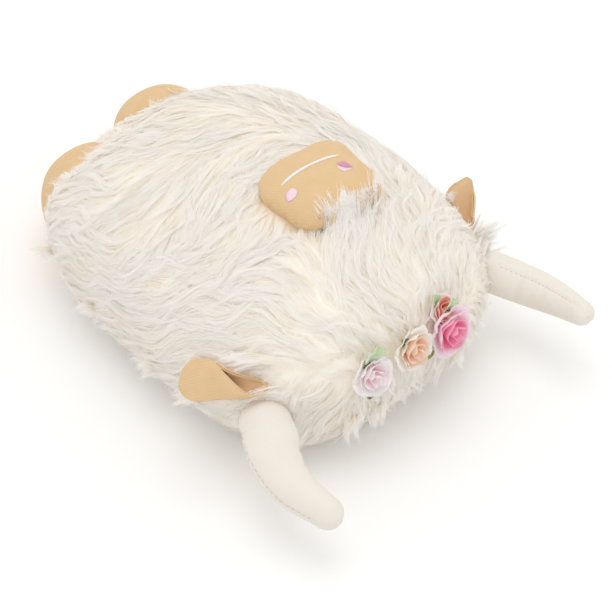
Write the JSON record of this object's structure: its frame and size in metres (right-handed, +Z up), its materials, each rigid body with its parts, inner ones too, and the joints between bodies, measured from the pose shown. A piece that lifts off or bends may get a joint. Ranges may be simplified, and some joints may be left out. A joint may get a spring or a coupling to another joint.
{
  "type": "plush cow",
  "caption": "Long-haired plush cow pillow lying on its back, with stuffed horns, ears and feet that flex at their seams, a velour muzzle and roses on its crown.",
  "frame": {"origin": "on the flat of the back that the toy rests on, under the middle of its belly", "axes": "+Z up out of the face, -Y towards the crown of the head, +Y towards the feet, -X the cow's own left"},
  "size_m": [0.3076, 0.4657, 0.1745],
  "materials": {
    "ivory_fur": "long pile",
    "stuffing_fibre": "loose fibre",
    "ear_velour": "short pile",
    "ear_lining": "short pile",
    "tan_velour": "short pile",
    "cream_fleece": "smooth fleece",
    "pink_thread": "satin stitch",
    "blush_heart": "matte",
    "leaf_green": "matte",
    "blush_petals": "matte",
    "stem_green": "matte",
    "coral_heart": "matte",
    "coral_petals": "matte",
    "hot_pink_heart": "matte",
    "hot_pink_petals": "matte",
    "peach_heart": "matte",
    "peach_petals": "matte",
    "white_thread": "satin stitch"
  },
  "bodies": {
    "torso": {"body_back_panel": "ivory_fur", "body_front_panel": "ivory_fur", "body_stuffing": "stuffing_fibre", "muzzle_cover": "tan_velour", "muzzle_stuffing": "stuffing_fibre", "nostril_left": "pink_thread", "nostril_right": "pink_thread", "rose_blush_heart": "blush_heart", "rose_blush_leaf": "leaf_green", "rose_blush_petals": "blush_petals", "rose_blush_stem": "stem_green", "rose_coral_heart": "coral_heart", "rose_coral_leaf": "leaf_green", "rose_coral_petals": "coral_petals", "rose_coral_stem": "stem_green", "rose_hot_pink_heart": "hot_pink_heart", "rose_hot_pink_leaf": "leaf_green", "rose_hot_pink_petals": "hot_pink_petals", "rose_hot_pink_stem": "stem_green", "rose_peach_heart": "peach_heart", "rose_peach_leaf": "leaf_green", "rose_peach_petals": "peach_petals", "rose_peach_stem": "stem_green", "smile_embroidery": "white_thread"},
    "ear_left": {"ear_left_back": "ear_velour", "ear_left_lining": "ear_lining"},
    "ear_right": {"ear_right_back": "ear_velour", "ear_right_lining": "ear_lining"},
    "horn_left": {"horn_left_back_panel": "cream_fleece", "horn_left_front_panel": "cream_fleece", "horn_left_stuffing": "stuffing_fibre"},
    "horn_right": {"horn_right_back_panel": "cream_fleece", "horn_right_front_panel": "cream_fleece", "horn_right_stuffing": "stuffing_fibre"},
    "foot_left": {"foot_left_cover": "tan_velour", "foot_left_stuffing": "stuffing_fibre"},
    "foot_right": {"foot_right_cover": "tan_velour", "foot_right_stuffing": "stuffing_fibre"}
  },
  "joints": [
    {"name": "ear_left_flex", "type": "hinge", "parent": "torso", "child": "ear_left", "pos_m": [-0.11749, -0.15317, 0.08728], "axis": [0.695, 0.719, 0], "range_deg": [-30, 18], "stiffness_Nm_per_rad": 0.06},
    {"name": "ear_right_flex", "type": "hinge", "parent": "torso", "child": "ear_right", "pos_m": [0.11418, -0.13614, 0.0926], "axis": [0.8387, -0.5446, 0], "range_deg": [-10, 30], "stiffness_Nm_per_rad": 0.06},
    {"name": "horn_left_flex", "type": "hinge", "parent": "torso", "child": "horn_left", "pos_m": [-0.11931, -0.16434, 0.06337], "axis": [-0.8572, 0.515, 0], "range_deg": [-18, 18], "stiffness_Nm_per_rad": 0.25},
    {"name": "horn_right_flex", "type": "hinge", "parent": "torso", "child": "horn_right", "pos_m": [0.11378, -0.16093, 0.06289], "axis": [0.9336, 0.3584, 0], "range_deg": [-18, 18], "stiffness_Nm_per_rad": 0.25},
    {"name": "foot_left_flex", "type": "hinge", "parent": "torso", "child": "foot_left", "pos_m": [-0.0475, 0.12899, 0.0485], "axis": [1, 0, 0], "range_deg": [-15, 15], "stiffness_Nm_per_rad": 0.4},
    {"name": "foot_right_flex", "type": "hinge", "parent": "torso", "child": "foot_right", "pos_m": [0.0475, 0.159, 0.0485], "axis": [1, 0, 0], "range_deg": [-15, 15], "stiffness_Nm_per_rad": 0.4}
  ]
}
